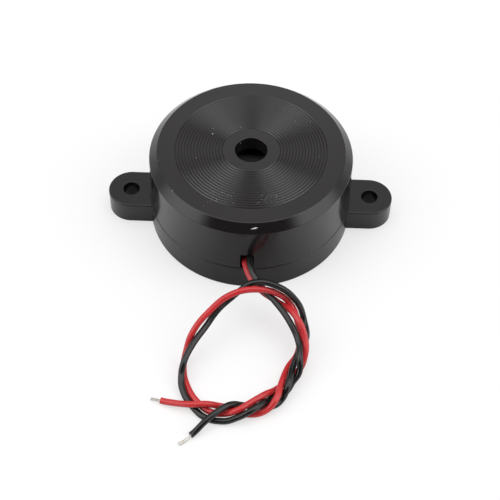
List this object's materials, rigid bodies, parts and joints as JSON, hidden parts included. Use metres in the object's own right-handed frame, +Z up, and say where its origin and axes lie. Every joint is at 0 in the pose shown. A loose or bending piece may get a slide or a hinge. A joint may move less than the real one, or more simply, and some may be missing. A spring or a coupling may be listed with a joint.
{
  "type": "piezo buzzer",
  "caption": "Round black panel-mount piezo buzzer with fixing ears, a central sound port in a ring of fine grooves, and thin red and black leads.",
  "frame": {"origin": "centre of the base's lower face", "axes": "+X through the two fixing ears, +Z up towards the sound port; the leads leave towards -Y"},
  "size_m": [0.0594, 0.0787, 0.0182],
  "materials": {
    "case_plastic": "moulded, soft gloss",
    "board_laminate": "brown laminate",
    "component_body": "moulded",
    "ferrite": "dark sintered",
    "winding_wire": "lacquered copper wire",
    "resistor_body": "tan lacquer",
    "solder": "bright tin",
    "wire_black": "soft insulation",
    "wire_red": "soft insulation",
    "wire_blue": "soft insulation",
    "plate_brass": "rolled sheet",
    "glue": "cured glue",
    "ceramic": "fired ceramic",
    "silver": "silvered film",
    "lead_red": "soft insulation, satin",
    "lead_black": "soft insulation, satin",
    "strands": "twisted copper strands"
  },
  "bodies": {
    "root": {"base": "case_plastic", "cap": "case_plastic", "circuit_board": "board_laminate", "transistor": "component_body", "inductor_core": "ferrite", "inductor_winding": "winding_wire", "resistor_1": "resistor_body", "resistor_2": "resistor_body", "resistor_3": "resistor_body", "board_solder": "solder", "plate_wire": "wire_black", "drive_wire": "wire_red", "feedback_wire": "wire_blue", "disc_solder": "solder", "diaphragm_plate": "plate_brass", "diaphragm_seal": "glue", "ceramic_disc": "ceramic", "main_electrode": "silver", "feedback_electrode": "silver", "red_lead": "lead_red", "black_lead": "lead_black", "red_lead_strands": "strands", "black_lead_strands": "strands"}
  },
  "joints": []
}
